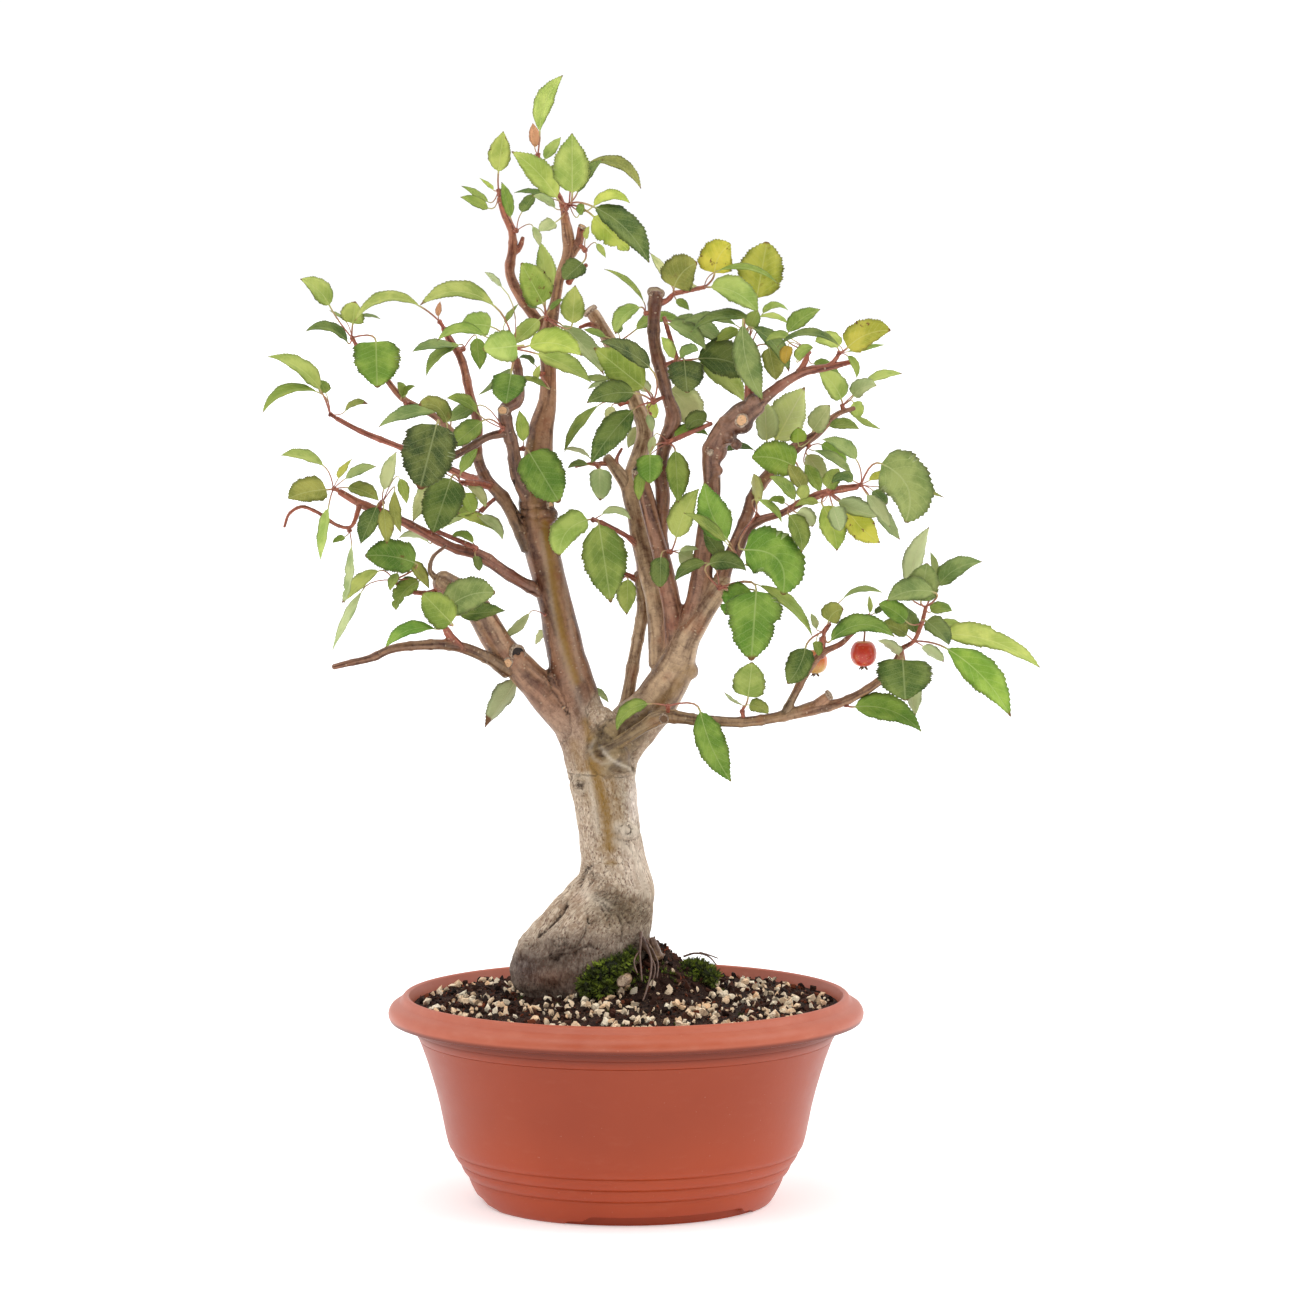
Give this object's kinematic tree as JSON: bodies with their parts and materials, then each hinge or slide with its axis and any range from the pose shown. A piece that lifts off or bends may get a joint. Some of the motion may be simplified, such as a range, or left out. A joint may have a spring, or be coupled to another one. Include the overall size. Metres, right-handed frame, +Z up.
{
  "type": "crabapple bonsai",
  "caption": "Young upright crabapple bonsai with a forked trunk, serrated leaves and small fruit, planted in a round terracotta-coloured training bowl.",
  "frame": {"origin": "middle of the flat underside of the bowl, on the bowl's axis", "axes": "+Z up the trunk, -Y towards someone looking at the tree's front, +X to their right"},
  "size_m": [0.4635, 0.286, 0.6746],
  "materials": {
    "terracotta": "satin moulded plastic, dusty",
    "soil": "rough mix of dark bark and pale pumice grains",
    "wood": "living bark, matte",
    "leaf": "leaf, satin above and matte below",
    "moss": "moss, matte",
    "fruit_red": "waxy fruit skin",
    "fruit_gold": "waxy fruit skin"
  },
  "bodies": {
    "root": {"pot": "terracotta", "soil": "soil", "tree": "wood", "moss_front": "moss", "moss_right": "moss", "fruit_red": "fruit_red", "fruit_gold": "fruit_gold", "spray_back_left_high": "leaf", "spray_crown": "leaf", "spray_crown_left": "leaf", "spray_crown_left_low": "leaf", "spray_crown_right": "leaf", "spray_crown_top": "leaf", "spray_dead_end": "leaf", "spray_far_left": "leaf", "spray_far_left_high": "leaf", "spray_far_left_low": "leaf", "spray_fork": "leaf", "spray_grey_stem": "leaf", "spray_grey_tip": "leaf", "spray_hanging_left": "leaf", "spray_inner_twig": "leaf", "spray_knob_tip": "leaf", "spray_left_big": "leaf", "spray_left_high": "leaf", "spray_left_inner": "leaf", "spray_left_low": "leaf", "spray_left_lowest": "leaf", "spray_left_stub": "leaf", "spray_left_upper": "leaf", "spray_low_bud": "leaf", "spray_low_knot": "leaf", "spray_low_mid": "leaf", "spray_low_spur": "leaf", "spray_low_tip": "leaf", "spray_right_bend": "leaf", "spray_right_bud": "leaf", "spray_right_crown": "leaf", "spray_right_fork": "leaf", "spray_right_heart": "leaf", "spray_right_high": "leaf", "spray_right_inner": "leaf", "spray_right_knob": "leaf", "spray_right_mid": "leaf", "spray_right_shoot": "leaf", "spray_right_tip": "leaf", "spray_right_twig": "leaf", "spray_right_upper": "leaf", "spray_rusty_knot": "leaf", "spray_shoot_back": "leaf", "spray_shoot_base": "leaf", "spray_shoot_high": "leaf", "spray_shoot_left": "leaf", "spray_shoot_low": "leaf", "spray_shoot_mid": "leaf", "spray_shoot_tip": "leaf", "spray_stem_high": "leaf", "spray_stem_left": "leaf", "spray_stem_mid": "leaf", "spray_under_limb": "leaf"}
  },
  "joints": []
}
